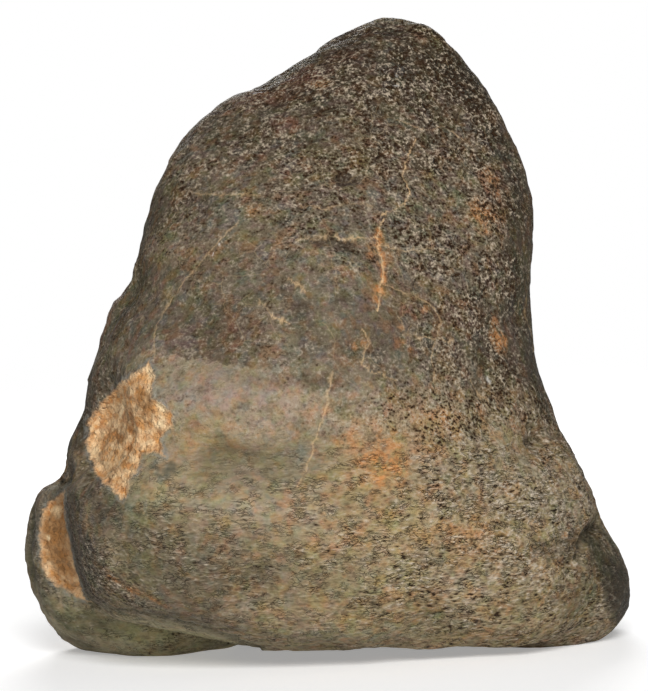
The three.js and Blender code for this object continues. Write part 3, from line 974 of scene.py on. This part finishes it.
class Tree:
    """Adds nodes to a material or a world and joins them."""

    def __init__(self, owner):
        owner.use_nodes = True
        self.nodes = owner.node_tree.nodes
        self.links = owner.node_tree.links

    def fill(self, node, inputs):
        """Sets a node's inputs, or links them if the value is another node's output."""
        for key, value in inputs.items():
            if isinstance(value, bpy.types.NodeSocket):
                self.links.new(value, node.inputs[key])
            else:
                node.inputs[key].default_value = value

    def node(self, kind, inputs=(), **settings):
        """A new node with its settings and its inputs."""
        made = self.nodes.new("ShaderNode" + kind)
        for key, value in settings.items():
            setattr(made, key, value)
        self.fill(made, dict(inputs))
        return made

    def mark(self, name):
        return self.node("Attribute", attribute_name=name).outputs["Fac"]

    def math(self, operation, a, b=0.0, clamp=False):
        return self.node("Math", {0: a, 1: b}, operation=operation, use_clamp=clamp).outputs[0]

    def step(self, value, low, high, to_low=0.0, to_high=1.0):
        """to_low where the value is low, to_high where it is high, with a smooth rise."""
        ends = {"From Min": low, "From Max": high, "To Min": to_low, "To Max": to_high}
        made = self.node("MapRange", {"Value": value, **ends}, interpolation_type="SMOOTHSTEP")
        return made.outputs["Result"]

    def mixed(self, kind, share, a, b, **settings):
        """a and b mixed: numbers, vectors or colours, by the kind of data."""
        first, second, result = MIX_SOCKETS[kind]
        made = self.node("Mix", {0: share, first: a, second: b}, data_type=kind, **settings)
        return made.outputs[result]

    def mix(self, share, a, b, blend="MIX"):
        return self.mixed("RGBA", share, a, b, blend_type=blend)

    def blend(self, share, a, b):
        return self.mixed("FLOAT", share, a, b)

    def blend_vectors(self, share, a, b):
        return self.mixed("VECTOR", share, a, b)

    def noise(self, places, size, detail, roughness, distortion=0.0, shift=0.0):
        inputs = {"Vector": places, "W": shift, "Scale": 1 / size, "Distortion": distortion}
        inputs |= {"Detail": detail, "Roughness": roughness}
        return self.node("TexNoise", inputs, noise_dimensions="4D")

    def grains(self, places, size, **settings):
        return self.node("TexVoronoi", {"Vector": places, "Scale": 1 / size}, **settings)

    def scaled(self, places, scale, turn=(0, 0, 0)):
        inputs = {"Vector": places, "Scale": scale, "Rotation": turn}
        return self.node("Mapping", inputs).outputs[0]

    def add(self, *terms, start=0.0):
        """start plus the sum of weight x value over (weight, value) pairs."""
        total = start
        for weight, value in terms:
            inputs = {0: value, 1: weight, 2: total}
            total = self.node("Math", inputs, operation="MULTIPLY_ADD").outputs[0]
        return total

    def add_vectors(self, a, b, weight):
        """a plus weight times the vector b."""
        inputs = {0: b, 1: (weight, weight, weight), 2: a}
        return self.node("VectorMath", inputs, operation="MULTIPLY_ADD").outputs[0]

    def moved(self, places, step):
        return self.node("VectorMath", {0: places, 1: step}, operation="ADD").outputs[0]

    def channels(self, colour):
        """The three channels of a colour."""
        return self.node("SeparateColor", {0: colour}).outputs

    def wrinkles(self, places):
        """1 on thin winding lines of two sizes, 0 between them."""
        found = []
        for size, middle, half, shift in WRINKLES:
            curls = self.noise(places, size, 1.0, 0.5, distortion=0.6, shift=shift).outputs["Fac"]
            away = self.math("ABSOLUTE", self.math("SUBTRACT", curls, middle))
            found.append(self.step(away, half, 0.1 * half))
        return self.math("MAXIMUM", *found)

    def product(self, *values):
        total = values[0]
        for value in values[1:]:
            total = self.math("MULTIPLY", total, value)
        return total

    def marked(self, name, *shares):
        """A mark times some shares."""
        return self.product(self.mark(name), *shares)


# size in millimetres, detail, roughness and shift of each noise
NOISES = {
    "uneven": (8.0, 1.0, 0.5, 32.0),
    "fraying": (0.9, 2.0, 0.6, 31.0),
    "shaken": (0.7, 1.0, 0.5, 21.0),
    "flecks": (1.4, 2.0, 0.6, 7.0),
    "scabs": (1.1, 2.0, 0.6, 37.0),
    "bending": (3.0, 2.0, 0.5, 11.0),
    "patchy": (9.0, 1.0, 0.5, 12.0),
    "fine": (0.38, 1.0, 0.5, 4.0),
    "grit": (0.66, 1.0, 0.5, 8.0),
    "lines": (0.39, 1.0, 0.5, 5.0),
    "broken": (1.9, 1.0, 0.5, 15.0),
    "ragged": (1.25, 2.0, 0.6, 16.0),
    "slants": (0.42, 1.0, 0.5, 18.0),
    "ripples": (0.66, 1.0, 0.5, 19.0),
    "clots": (2.4, 2.0, 0.5, 9.0),
    "mottle": (1.5, 1.0, 0.5, 13.0),
    "floor": (1.9, 2.0, 0.55, 6.0),
    "rubbed": (0.5, 1.0, 0.5, 35.0),
}
# size in millimetres, the noise value that a line follows, its half width in value, shift
WRINKLES = [(1.10, 0.47, 0.034, 14.0), (0.62, 0.50, 0.040, 24.0)]
# size in millimetres, shift, noise from and to, strength, colour to multiply by
HUES = [
    (2.5, 1.0, 0.50, 0.64, 0.75, (0.95, 1.05, 0.74, 1)),
    (2.2, 2.0, 0.50, 0.64, 0.85, (0.84, 1.03, 1.20, 1)),
    (2.3, 3.0, 0.50, 0.64, 0.90, (1.25, 0.93, 0.72, 1)),
    (1.9, 17.0, 0.48, 0.62, 0.80, (1.08, 0.93, 1.10, 1)),
    (5.0, 36.0, 0.48, 0.64, 0.45, (0.93, 1.05, 0.78, 1)),
    (14.0, 26.0, 0.44, 0.62, 0.40, (1.10, 0.99, 0.82, 1)),
    (12.0, 27.0, 0.46, 0.62, 0.40, (0.90, 1.01, 1.14, 1)),
]
# marks, their strength and the colour to multiply by
HUE_MARKS = [
    ("gold", 1.0, (1.19, 1.14, 1.01, 1)),
    ("olive", 0.9, (0.89, 1.09, 0.68, 1)),
    ("slate", 0.8, (0.78, 1.04, 1.30, 1)),
    ("mauve", 0.7, (1.08, 0.95, 1.18, 1)),
    ("ruddy", 1.0, (1.48, 0.90, 0.78, 1)),
]
# grains in the worn stone: channel of their random colour, from and to, strength, tint
PEBBLES = [
    (0, 0.5, 0.95, 0.35, (1.30, 1.30, 1.27, 1)),
    (0, 0.45, 0.05, 0.35, (0.70, 0.70, 0.68, 1)),
    (1, 0.7, 0.95, 0.16, (1.26, 0.94, 0.74, 1)),
    (1, 0.3, 0.05, 0.16, (0.84, 1.04, 1.14, 1)),
]
RUSTY_TINT = (1.25, 0.98, 0.66, 1)
# marks, their strength and their colour
# of these, the second paints light from below on the lower left, the third and fourth paint shade on
# the sides and in creases, and the sixth is partly darker stone and partly painted shade
GROUND_MARKS = [
    ("lobe", 0.85, (131, 124, 98)), ("under", 0.6, (200, 190, 152)), ("side_shade", 0.5, (54, 50, 40)),
    ("valley_shade", 0.28, (58, 52, 40)), ("ridge", 0.18, (170, 152, 126)), ("dark", 0.85, (54, 49, 37)),
]
# sRGB colours, 0-255
WORN_LOW, WORN_HIGH, WORN_PALE = (130, 116, 90), (138, 122, 97), (130, 118, 102)
CRUST_LOW, CRUST_MIDDLE, CRUST_TOP = (92, 81, 66), (110, 97, 79), (75, 66, 54)
BROW_SHADOW, PIT_SHADE, HOLLOW_SHADE, SEAM_SHADE = (58, 46, 34), (56, 46, 34), (54, 41, 30), (40, 34, 25)
RUST, SCAB, WEB, VEIN, FLECK = (
    (186, 130, 80), (112, 70, 42), (190, 166, 128), (218, 184, 140), (232, 228, 220),
)
HOLE, SAND_ON_WORN, SAND_ON_CRUST = (46, 27, 5), (186, 172, 152), (180, 164, 142)
ORE, PALE_ORE, LIGHT_CRYSTAL, RED_CRYSTAL = (
    (202, 146, 88), (226, 190, 144), (232, 202, 160), (158, 94, 50),
)
UMBER, CREAM, DARK_CRYSTAL, CRACKED_ORE = (130, 90, 48), (240, 216, 172), (84, 60, 36), (112, 78, 46)
DUSTY_EDGE, GREY_RIM = (186, 158, 126), (132, 132, 124)

# scales of the places that noises read: below 1 the grain is drawn out along that axis
PEBBLE_SQUASH, WIDE_SQUASH = (0.6, 0.6, 1.0), (0.78, 0.60, 1.1)
LINE_SQUASH, DASH_SQUASH = (0.42, 0.42, 1.0), (0.42, 0.42, 1.15)
HOLE_SQUASH, SCAB_SQUASH, SLANT_SQUASH = (0.62, 0.62, 1.1), (0.7, 0.7, 1.0), (0.5, 0.5, 1.0)
SLANT = (0, math.radians(-40), 0)
LIT_EDGE_OFFSET = (0, 0, 0.28)  # millimetres from a dash to its lit edge
BUMP_METRES = 0.0005


class StoneLook(Tree):
    """The stone's material, laid on in layers. Sizes are in millimetres."""

    def __init__(self, material):
        super().__init__(material)
        places = self.scaled(self.node("TexCoord").outputs["Object"], (1000, 1000, 1000))
        self.places, self.brushed = places, self.mark("brushed")
        uneven = self.step(self.field("uneven", places), 0.36, 0.62, 0.75, 1.2)
        self.sandy = self.marked("sandy", uneven)
        fraying = (0.45, self.field("fraying", places))
        self.ragged_brow = self.add((1.0, self.mark("above_brow")), fraying, start=-0.225)
        sharp_edge = self.step(self.ragged_brow, 0.45, 0.55)
        edge = self.blend(self.mark("brow_line"), self.mark("above_brow_soft"), sharp_edge)
        self.crust = self.math("MAXIMUM", self.mark("crust"), edge)
        self.bare = self.math("SUBTRACT", 1.0, self.crust)

    def named_noise(self, name, places):
        size, detail, roughness, shift = NOISES[name]
        return self.noise(places, size, detail, roughness, shift=shift)

    def field(self, name, places, output="Fac"):
        return self.named_noise(name, places).outputs[output]

    def lay(self, share, colour):
        """Covers what is there with a share of a colour."""
        self.base = self.mix(share, self.base, srgb(*colour))

    def tint(self, share, hue):
        """Multiplies what is there by a share of a hue."""
        self.base = self.mix(share, self.base, hue, blend="MULTIPLY")

    def lay_ground(self):
        """Brown crust above, worn tan and olive below."""
        rise = self.mark("rise")
        worn = self.mix(self.step(rise, 0.0, 0.45), srgb(*WORN_LOW), srgb(*WORN_HIGH))
        crusted = self.mix(self.step(rise, 0.45, 0.68), srgb(*CRUST_LOW), srgb(*CRUST_MIDDLE))
        crusted = self.mix(self.step(rise, 0.68, 0.98), crusted, srgb(*CRUST_TOP))
        self.base = self.mix(self.crust, worn, crusted)
        self.lay(self.marked("pale", self.bare, 0.75), WORN_PALE)
        for name, most, colour in GROUND_MARKS:
            self.lay(self.marked(name, most), colour)
        below, above = self.step(self.ragged_brow, 0.36, 0.43), self.step(self.ragged_brow, 0.56, 0.48)
        self.lay(self.product(below, above, self.mark("brow_line"), 0.55), BROW_SHADOW)

    def lay_hues(self):
        """Hues that wander over some millimetres, at about the same brightness."""
        plain = self.math("SUBTRACT", 1.0, self.marked("lobe", 0.5))
        for size, shift, low, high, most, hue in HUES:
            field = self.noise(self.places, size, 1.5, 0.5, shift=shift).outputs["Fac"]
            strength = self.blend(self.crust, 0.6 * most, 0.9 * most)
            self.tint(self.product(self.step(field, low, high), strength, plain), hue)
        for name, most, hue in HUE_MARKS:
            self.tint(self.marked(name, most), hue)
        # painted shade in the pits
        self.lay(self.marked("pit_shade", 0.6), PIT_SHADE)

    def lay_pebbles(self):
        """The stone's own small grains, seen where the crust is gone."""
        flattened = self.scaled(self.places, PEBBLE_SQUASH)
        squashed = self.blend_vectors(self.brushed, self.places, flattened)
        shaken = self.add_vectors(squashed, self.field("shaken", self.places, "Color"), 0.9)
        kinds = self.channels(self.grains(shaken, 0.85).outputs["Color"])
        for channel, low, high, most, hue in PEBBLES:
            strength = self.blend(self.bare, 0.3 * most, most)
            self.tint(self.math("MULTIPLY", self.step(kinds[channel], low, high), strength), hue)

    def lay_rust(self):
        """Rust where it is marked, broken up by flecks and darker scabs."""
        mark = self.mark("rust")
        flecks = self.step(self.field("flecks", self.places), 0.41, 0.58, 0.10, 0.92)
        self.lay(self.math("MULTIPLY", mark, flecks), RUST)
        scabs = self.field("scabs", self.scaled(self.places, SCAB_SQUASH))
        self.lay(self.product(mark, self.step(scabs, 0.50, 0.66), 0.6), SCAB)

    def web(self):
        """1 on a patchy web of lines."""
        bent = self.add_vectors(self.places, self.field("bending", self.places, "Color"), 1.8)
        web = self.grains(bent, 5.0, feature="DISTANCE_TO_EDGE")
        patchy = self.step(self.field("patchy", self.places), 0.47, 0.60)
        return self.product(self.step(web.outputs["Distance"], 0.03, 0.0), patchy, 0.20)

    def make_grain(self):
        """Sand and irregular holes above, drawn-out lines and dashes low down."""
        places, brushed = self.places, self.brushed
        self.fine = self.field("fine", self.scaled(places, (1.0, 0.7, 1.0)))
        wide, flat = self.scaled(places, WIDE_SQUASH), self.scaled(places, LINE_SQUASH)
        self.cells = self.grains(wide, 0.66).outputs["Distance"]
        self.grit = self.blend(brushed, self.field("grit", wide), self.field("ripples", flat))
        leaning = self.scaled(self.scaled(places, (1, 1, 1), SLANT), SLANT_SQUASH)
        slanted = self.mark("slanted")
        lines = self.blend(slanted, self.field("lines", flat), self.field("slants", leaning))
        self.speck = self.blend(brushed, self.fine, lines)
        broken = self.step(self.field("broken", self.scaled(places, PEBBLE_SQUASH)), 0.42, 0.60)
        gathered = self.product(self.math("MAXIMUM", broken, self.mark("rough")), brushed)
        drawn = self.scaled(places, DASH_SQUASH)
        self.dashes = self.product(self.wrinkles(drawn), gathered)
        self.lit_edges = self.product(self.wrinkles(self.moved(drawn, LIT_EDGE_OFFSET)), gathered)
        ragged = self.step(self.field("ragged", self.scaled(places, HOLE_SQUASH)), 0.56, 0.66)
        self.holes = self.math("MULTIPLY", ragged, self.math("SUBTRACT", 1.0, brushed))

    def grain_level(self):
        """How much lighter (above 0) or darker (below 0) the grain makes each place."""
        brushed = self.brushed
        sand = self.add((1.15, self.speck), (1.10, self.grit), (0.26, self.cells), start=-1.28)
        sand = self.math("MULTIPLY", sand, self.blend(brushed, 1.08, 0.80))
        # the dashes darken the grain as painted shade in their grooves, and the lit edges just below
        # them lighten it as a painted highlight
        drawn = ((-0.17, self.dashes), (0.12, self.lit_edges))
        sand = self.add(*drawn, (-0.17, self.holes), (0.07, self.mark("clean")), start=sand)
        self.clots = self.field("clots", self.places)
        slow = self.add((0.36, self.clots), (0.22, self.field("mottle", self.places)), start=-0.29)
        gain = self.add((0.5, self.mark("sandy")), start=0.55)
        slow = self.product(slow, self.blend(brushed, 1.15, 0.3), gain)
        return self.math("ADD", self.math("MULTIPLY", sand, self.sandy), slow)

    def lay_grain(self):
        """The grain's dark holes and light sand, then what lies over them."""
        self.make_grain()
        level, rust = self.grain_level(), self.mark("rust")
        darker = self.math("POWER", self.math("MULTIPLY", level, -3.3, clamp=True), 1.3)
        lighter = self.math("POWER", self.math("MULTIPLY", level, 2.75, clamp=True), 1.35)
        self.lay(self.math("MULTIPLY", darker, self.step(rust, 0.2, 0.9, 1.0, 0.75)), HOLE)
        sand = self.mix(self.crust, srgb(*SAND_ON_WORN), srgb(*SAND_ON_CRUST))
        self.base = self.mix(lighter, self.base, sand)
        self.tint(self.product(rust, 0.45), RUSTY_TINT)
        # painted shade in the hollows
        self.lay(self.marked("hollow", 0.78), HOLLOW_SHADE)
        self.lay(self.product(self.web(), self.crust), WEB)
        # painted shade along the seams, the crease and the grooves
        self.lay(self.marked("seam", 0.58), SEAM_SHADE)

    def ore(self):
        """The golden inside of the stone, with light, red and dark crystals."""
        facing = self.scaled(self.places, (1.0, 0.3, 1.0))
        floor = self.field("floor", facing)
        rubbed = self.named_noise("rubbed", facing)
        faces = self.grains(self.add_vectors(facing, rubbed.outputs["Color"], 0.5), 0.8)
        crystals = self.channels(faces.outputs["Color"])
        ore = self.mix(self.step(floor, 0.38, 0.62), srgb(*ORE), srgb(*PALE_ORE))
        for share, colour in (
            (self.step(crystals[0], 0.4, 0.95, 0, 0.38), LIGHT_CRYSTAL),
            (self.step(crystals[1], 0.5, 0.95, 0, 0.40), RED_CRYSTAL),
            (self.marked("umber", 0.85), UMBER),
            (self.marked("cream", self.step(floor, 0.3, 0.6, 0.35, 1.0)), CREAM),
            (self.step(crystals[2], 0.75, 0.98, 0, 0.45), DARK_CRYSTAL),
            (self.step(faces.outputs["Distance"], 0.45, 0.85, 0, 0.22), CRACKED_ORE),
        ):
            ore = self.mix(share, ore, srgb(*colour))
        dusty = self.step(self.mark("chip"), 0.85, 0.5, 0, 0.45)
        distance = (-0.35, faces.outputs["Distance"])
        self.crumbs = self.add((1.1, rubbed.outputs["Fac"]), distance, (0.8, floor))
        return self.mix(dusty, ore, srgb(*DUSTY_EDGE))

    def lay_patches(self):
        """The broken patches, each with a soft grey rim."""
        ragged_chip = self.add((1.0, self.mark("chip")), (0.3, self.fine), (0.3, self.grit), start=-0.3)
        self.chip = self.step(ragged_chip, 0.33, 0.67)
        self.base = self.mix(self.chip, self.base, self.ore())
        outside = self.math("SUBTRACT", 1.0, self.chip)
        rim = self.product(self.step(ragged_chip, 0.0, 0.36), outside)
        self.lay(self.math("MULTIPLY", rim, self.step(self.clots, 0.42, 0.58, 0.10, 0.6)), GREY_RIM)

    def lay_veins(self):
        """Light cracks and white flecks."""
        grainy = self.step(self.fine, 0.30, 0.50, 0.6, 1.0)
        self.lay(self.marked("vein", grainy), VEIN)
        self.lay(self.mark("white"), FLECK)

    def finish(self):
        """Joins the colour, the roughness and the grain's fine relief to the shader."""
        grain = ((0.4, self.cells), (-1.2, self.dashes), (-0.5, self.holes))
        relief = self.add((1.0, self.speck), (0.8, self.grit), *grain)
        relief = self.math("MULTIPLY", relief, self.sandy)
        height = self.blend(self.chip, relief, self.crumbs)
        bump = self.node("Bump", {"Height": height, "Strength": 1.0, "Distance": BUMP_METRES})
        rough = self.step(self.fine, 0.3, 0.7, 0.95, 0.7)
        inputs = {"Base Color": self.base, "Roughness": rough, "Specular IOR Level": 0.25}
        self.fill(self.nodes["Principled BSDF"], {**inputs, "Normal": bump.outputs["Normal"]})


def stone_material():
    material = bpy.data.materials.new("weathered_stone_skin")
    look = StoneLook(material)
    for layer in (
        look.lay_ground, look.lay_hues, look.lay_pebbles, look.lay_rust,
        look.lay_grain, look.lay_patches, look.lay_veins, look.finish,
    ):
        layer()
    return material


# ---- stage, in metres ----

FLOOR_FADE, FLOOR_REACH = 0.12, 0.9
FLOOR_GREY = (0.9, 0.9, 0.9, 1)
WHITE = (1, 1, 1, 1)
FLOOR_GLOW = (0.12, 0.32)  # as light on the stone, and as the camera sees it
WORLD_GLOW = (0.12, 1.0)
LIGHT_AIM = (0, 0, 0.055)
# name, place, size and power
LIGHTS = [("key", (0.06, -1.2, 0.60), 0.45, 17.5), ("back fill", (0, 1.25, 0.46), 0.5, 13.0)]


def add_floor():
    """A pale floor that fades into the pale studio round it."""
    mesh = bpy.data.meshes.new("floor")
    reach = FLOOR_REACH
    corners = [(-reach, -reach, 0), (reach, -reach, 0), (reach, reach, 0), (-reach, reach, 0)]
    mesh.from_pydata(corners, [], [(0, 1, 2, 3)])
    floor = bpy.data.objects.new("floor", mesh)
    bpy.context.scene.collection.objects.link(floor)
    material = bpy.data.materials.new("floor")
    tree = Tree(material)
    places = tree.node("TexCoord").outputs["Object"]
    spread = tree.node("VectorMath", {0: places}, operation="LENGTH").outputs["Value"]
    seen = tree.node("LightPath").outputs["Is Camera Ray"]
    inputs = {
        "Base Color": FLOOR_GREY, "Roughness": 0.9, "Specular IOR Level": 0.1,
        "Alpha": tree.step(spread, FLOOR_FADE, FLOOR_REACH, 1.0, 0.0),
        "Emission Color": WHITE, "Emission Strength": tree.step(seen, 0, 1, *FLOOR_GLOW),
    }
    tree.fill(tree.nodes["Principled BSDF"], inputs)
    mesh.materials.append(material)


def add_light(name, place, size, power):
    data = bpy.data.lights.new(name, "AREA")
    data.shape = "DISK"
    data.size = size
    data.energy = power
    light = bpy.data.objects.new(name, data)
    light.location = place
    light.rotation_euler = (Vector(LIGHT_AIM) - Vector(place)).to_track_quat("-Z", "Y").to_euler()
    bpy.context.scene.collection.objects.link(light)


def add_studio():
    """Two soft lights in a white studio that lights the stone less than the camera sees it."""
    for light in LIGHTS:
        add_light(*light)
    world = bpy.data.worlds.new("studio")
    tree = Tree(world)
    inputs = dict(zip(("To Min", "To Max"), WORLD_GLOW))
    inputs["Value"] = tree.node("LightPath").outputs["Is Camera Ray"]
    glow = tree.node("MapRange", inputs).outputs["Result"]
    tree.fill(tree.nodes["Background"], {"Color": WHITE, "Strength": glow})
    bpy.context.scene.world = world


camera = PhotoCamera()
camera.add_to_scene()
add_studio()
add_floor()
skin = add_mesh("stone_skin", *built_skin(camera))
skin.data.materials.append(stone_material())
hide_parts(NODE)
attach(skin, BODY)
bpy.context.scene.view_settings.view_transform = "Standard"
